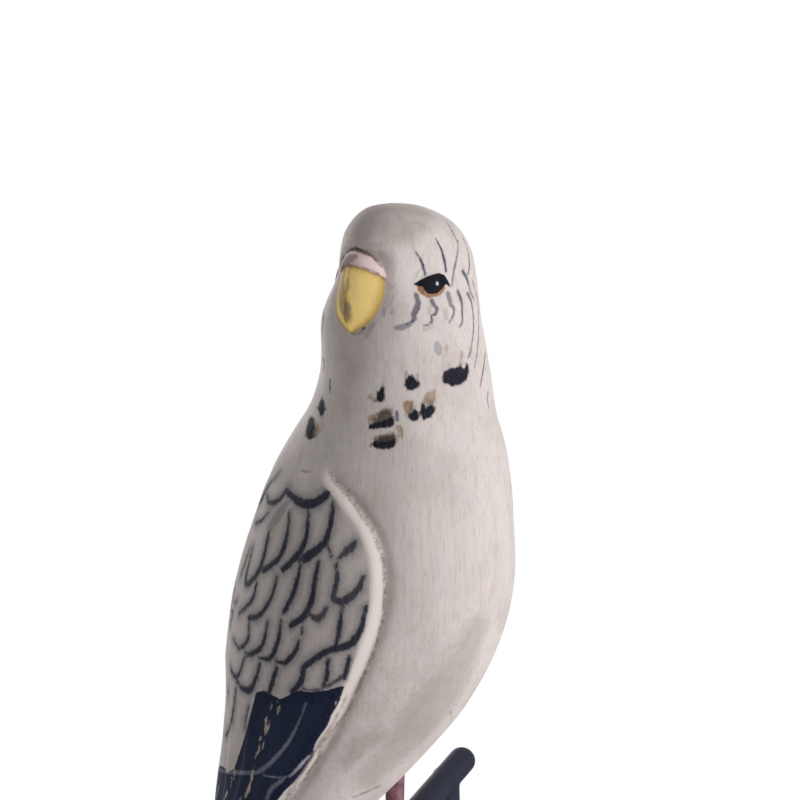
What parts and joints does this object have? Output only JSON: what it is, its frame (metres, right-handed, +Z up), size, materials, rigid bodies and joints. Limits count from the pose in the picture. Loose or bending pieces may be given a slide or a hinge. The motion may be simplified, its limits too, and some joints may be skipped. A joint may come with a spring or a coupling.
{
  "type": "bird figurine",
  "caption": "Hand-carved, hand-painted wooden budgerigar with its head turned, standing on a forked metal twig with a round foot plate.",
  "frame": {"origin": "centre of the foot plate's underside", "axes": "+Z up; the breast faces -Y; +X is the bird's left side, where the twig's stem stands; the head is turned to -X"},
  "size_m": [0.09, 0.09, 0.1966],
  "materials": {
    "painted_wood": "matt hand-painted carving: grey-cream with slate wing marks, a yellow beak and brown wax in the cuts",
    "rose_paint": "dusty rose paint, half matt, darker on the shaded side",
    "slate_paint": "dark slate-blue paint, half matt",
    "plain_steel": "plain turned steel"
  },
  "bodies": {
    "root": {"carved_body": "painted_wood", "left_leg": "rose_paint", "right_leg": "rose_paint", "twig_perch": "slate_paint", "base_plate": "slate_paint", "base_screw": "plain_steel"}
  },
  "joints": []
}
